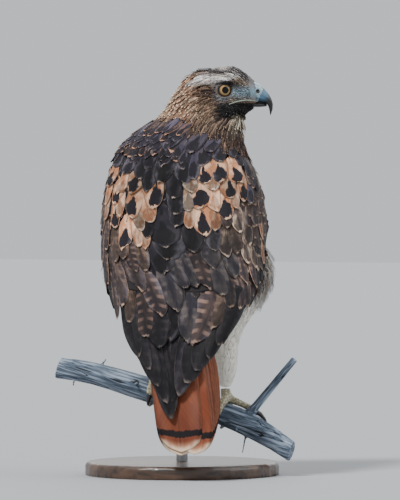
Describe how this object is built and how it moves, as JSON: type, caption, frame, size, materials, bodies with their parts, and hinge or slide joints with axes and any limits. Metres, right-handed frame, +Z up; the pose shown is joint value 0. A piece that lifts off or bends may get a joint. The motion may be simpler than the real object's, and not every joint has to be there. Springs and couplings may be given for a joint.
{
  "type": "perched red-tailed hawk model",
  "caption": "Life-size hawk seen from behind with folded wings and head turned to its right, gripping a short cut length of branch on a plain round display stand.",
  "frame": {"origin": "centre of the stand base's underside", "axes": "+Z up, +X to the bird's right, +Y the way its breast faces"},
  "size_m": [0.2622, 0.2254, 0.4286],
  "materials": {
    "breast_plumage": "soft cream body feathers",
    "head_plumage": "brown streaked body feathers",
    "wing_plumage": "dark brown vaned feathers with buff marks",
    "tail_plumage": "brick red vaned feathers with a dark band near the tips",
    "eye": "wet gloss, golden iris and black pupil",
    "cere_skin": "waxy bare skin",
    "bill_horn": "polished horn, darker to the tip",
    "scaled_skin": "pale yellow plated skin",
    "claw_horn": "black horn",
    "weathered_wood": "barkless, weathered blue-grey and cracked",
    "rod_steel": "brushed",
    "base_wood": "satin varnish"
  },
  "bodies": {
    "root": {"torso": "breast_plumage", "neck": "head_plumage", "head": "head_plumage", "eye_left": "eye", "eye_right": "eye", "cere": "cere_skin", "bill_upper": "bill_horn", "bill_lower": "bill_horn", "wing_left": "wing_plumage", "wing_right": "wing_plumage", "tail": "tail_plumage", "thigh_left": "breast_plumage", "thigh_right": "breast_plumage", "tarsus_left": "scaled_skin", "tarsus_right": "scaled_skin", "foot_left": "scaled_skin", "foot_right": "scaled_skin", "claw_left_inner": "claw_horn", "claw_left_middle": "claw_horn", "claw_left_outer": "claw_horn", "claw_left_hind": "claw_horn", "claw_right_inner": "claw_horn", "claw_right_middle": "claw_horn", "claw_right_outer": "claw_horn", "claw_right_hind": "claw_horn", "perch": "weathered_wood", "stand_rod": "rod_steel", "stand_base": "base_wood"}
  },
  "joints": []
}
